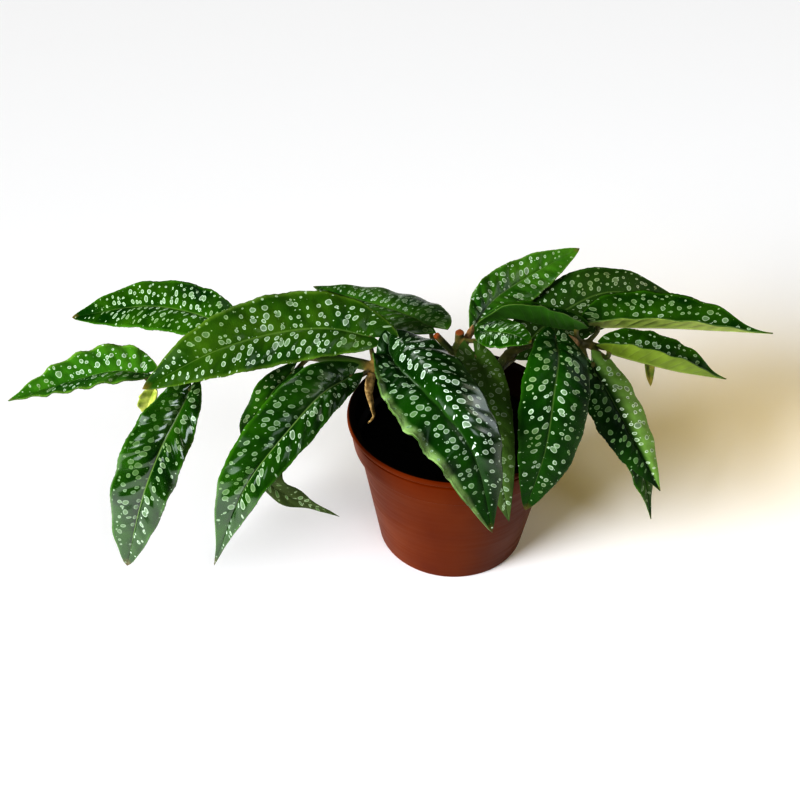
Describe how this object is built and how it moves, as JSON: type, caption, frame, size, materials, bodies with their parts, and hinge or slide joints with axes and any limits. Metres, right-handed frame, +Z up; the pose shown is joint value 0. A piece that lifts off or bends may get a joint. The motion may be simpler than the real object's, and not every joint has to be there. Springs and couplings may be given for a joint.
{
  "type": "potted polka dot begonia",
  "caption": "Cane begonia with long silver-spotted angel-wing leaves arching over a round, collared nursery pot filled with dark soil.",
  "frame": {"origin": "centre of the pot's flat base, on the surface it stands on", "axes": "+Z up along the pot's axis; X along the plant's long spread, leaves on the long left cane towards -X; the side pictured is -Y"},
  "size_m": [0.4031, 0.2024, 0.1565],
  "materials": {
    "pot_plastic": "moulded brown-terracotta plastic, satin sheen",
    "potting_soil": "damp black peat potting mix, matte",
    "cane_bark": "green-brown cane, satin",
    "leaf_blade": "dark green blade with silver-white spots, waxy gloss",
    "young_leaf": "pale yellow-green young leaf, satin",
    "papery_scale": "dry pinkish tan papery scale, matte",
    "dried_stalk": "dried orange-tan stalk, matte"
  },
  "bodies": {
    "root": {"pot": "pot_plastic", "soil": "potting_soil", "cane_left": "cane_bark", "cane_centre": "cane_bark", "cane_right": "cane_bark", "leaf_left_back": "leaf_blade", "leaf_left_tip": "leaf_blade", "leaf_left_long": "leaf_blade", "leaf_left_hanging": "leaf_blade", "leaf_left_front": "leaf_blade", "leaf_left_under": "leaf_blade", "leaf_back_left": "leaf_blade", "leaf_centre_front": "leaf_blade", "leaf_centre_middle": "leaf_blade", "leaf_centre_right": "leaf_blade", "leaf_right_hanging": "leaf_blade", "leaf_right_behind": "leaf_blade", "leaf_back_centre": "leaf_blade", "leaf_back_right": "leaf_blade", "leaf_right_inner": "leaf_blade", "leaf_right_long": "leaf_blade", "leaf_right_front": "leaf_blade", "leaf_small_glossy": "leaf_blade", "terminal_bud": "young_leaf", "hanging_bud_right": "young_leaf", "stipule_centre": "papery_scale", "stipule_right_upper": "papery_scale", "dried_flower_stalk": "dried_stalk"}
  },
  "joints": []
}
